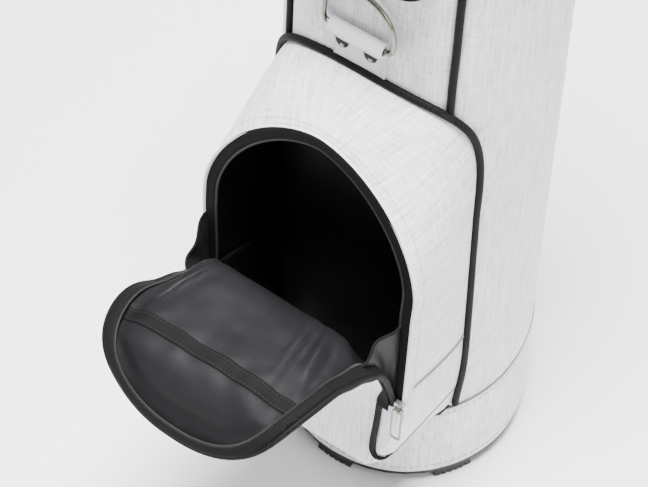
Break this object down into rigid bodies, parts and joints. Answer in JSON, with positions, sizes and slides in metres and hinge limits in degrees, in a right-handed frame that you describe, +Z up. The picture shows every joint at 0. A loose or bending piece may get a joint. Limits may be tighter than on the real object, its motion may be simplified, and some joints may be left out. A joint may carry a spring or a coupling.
{
  "type": "golf bag",
  "caption": "Standing cylindrical golf bag with a soft zipped shoe and ball pocket low on its front, shown with the pocket door folded open.",
  "frame": {"origin": "middle of the base on the ground", "axes": "+Z up the bag, -Y out of the front, where the pocket is"},
  "size_m": [0.221, 0.4824, 0.88],
  "materials": {
    "fabric": "light grey slub-woven shell fabric",
    "piping": "black woven binding",
    "lining": "charcoal nylon with a satin sheen",
    "tape": "black zipper tape with coil teeth",
    "plastic": "dark grey satin plastic",
    "tube": "black board",
    "leather": "light grey coated leather-like sheet",
    "nickel": "polished dark nickel plate"
  },
  "bodies": {
    "bag": {"front_panel": "fabric", "rear_panel": "fabric", "base_collar": "fabric", "gusset": "fabric", "gusset_base_left": "fabric", "gusset_base_right": "fabric", "front_base_panel": "fabric", "cuff": "fabric", "strap_pad": "fabric", "upper_pocket": "fabric", "panel_piping_left": "piping", "panel_piping_right": "piping", "corner_piping_left": "piping", "corner_piping_right": "piping", "pocket_piping": "piping", "strap_web_lower": "piping", "strap_web_upper": "piping", "pocket_floor": "lining", "pocket_back_lining": "lining", "drop_stop_left": "lining", "drop_stop_right": "lining", "fixed_tape": "tape", "upper_tape": "tape", "base_moulding": "plastic", "foot_1": "plastic", "foot_2": "plastic", "foot_3": "plastic", "foot_4": "plastic", "foot_5": "plastic", "foot_6": "plastic", "mouth_ring": "plastic", "club_divider": "plastic", "barrel_tube": "tube", "ring_tab": "leather", "lift_handle": "leather", "strap_anchor_lower": "leather", "strap_anchor_upper": "leather", "tab_rivet_left": "nickel", "tab_rivet_right": "nickel"},
    "door_lower": {"door_lower": "fabric", "door_piping_lower_left": "piping", "door_piping_lower_right": "piping", "door_tape_lower_left": "tape", "door_tape_lower_right": "tape"},
    "door_flap": {"door_flap": "fabric", "door_piping_flap_left": "piping", "door_piping_flap_right": "piping", "door_tape_flap_left": "tape", "door_tape_flap_right": "tape"},
    "door_tip": {"door_tip": "fabric", "door_piping_tip": "piping", "door_tape_tip": "tape"},
    "slider": {"slider": "nickel"},
    "puller": {"puller": "nickel"},
    "d_ring": {"d_ring": "nickel"},
    "upper_slider": {"upper_slider": "nickel"},
    "upper_puller": {"upper_puller": "nickel"}
  },
  "joints": [
    {"name": "door_ridge", "type": "hinge", "parent": "door_lower", "child": "door_flap", "pos_m": [0, -0.20209, 0.35162], "axis": [-1, 0, 0], "range_deg": [0, 76]},
    {"name": "door_fold", "type": "hinge", "parent": "bag", "child": "door_lower", "pos_m": [0, -0.1681, 0.247], "axis": [-1, 0, 0], "range_deg": [0, 18], "deforming": ["drop_stop_left", "drop_stop_right"]},
    {"name": "door_tip", "type": "hinge", "parent": "door_flap", "child": "door_tip", "pos_m": [0, -0.29909, 0.35162], "axis": [-1, 0, 0], "range_deg": [0, 66]},
    {"name": "slider_travel", "type": "slide", "parent": "bag", "child": "slider", "axis": [0, 0, 1], "range_m": [0, 0.085]},
    {"name": "puller_swing", "type": "hinge", "parent": "slider", "child": "puller", "pos_m": [0.0973, -0.1711, 0.2453], "axis": [-1, 0, 0], "range_deg": [0, 160]},
    {"name": "d_ring_swing", "type": "hinge", "parent": "bag", "child": "d_ring", "pos_m": [0, -0.11, 0.56], "axis": [1, 0, 0], "range_deg": [0, 150]},
    {"name": "upper_slider_travel", "type": "slide", "parent": "bag", "child": "upper_slider", "axis": [-1, 0, 0], "range_m": [0, 0.06]},
    {"name": "upper_puller_swing", "type": "hinge", "parent": "upper_slider", "child": "upper_puller", "pos_m": [0.0322, -0.137, 0.712], "axis": [0, 0, 1], "range_deg": [0, 160]}
  ],
  "couplings": [
    {"joint": "door_fold", "follows": "door_ridge", "ratio": 0.23682},
    {"joint": "door_tip", "follows": "door_ridge", "ratio": 0.8684}
  ]
}
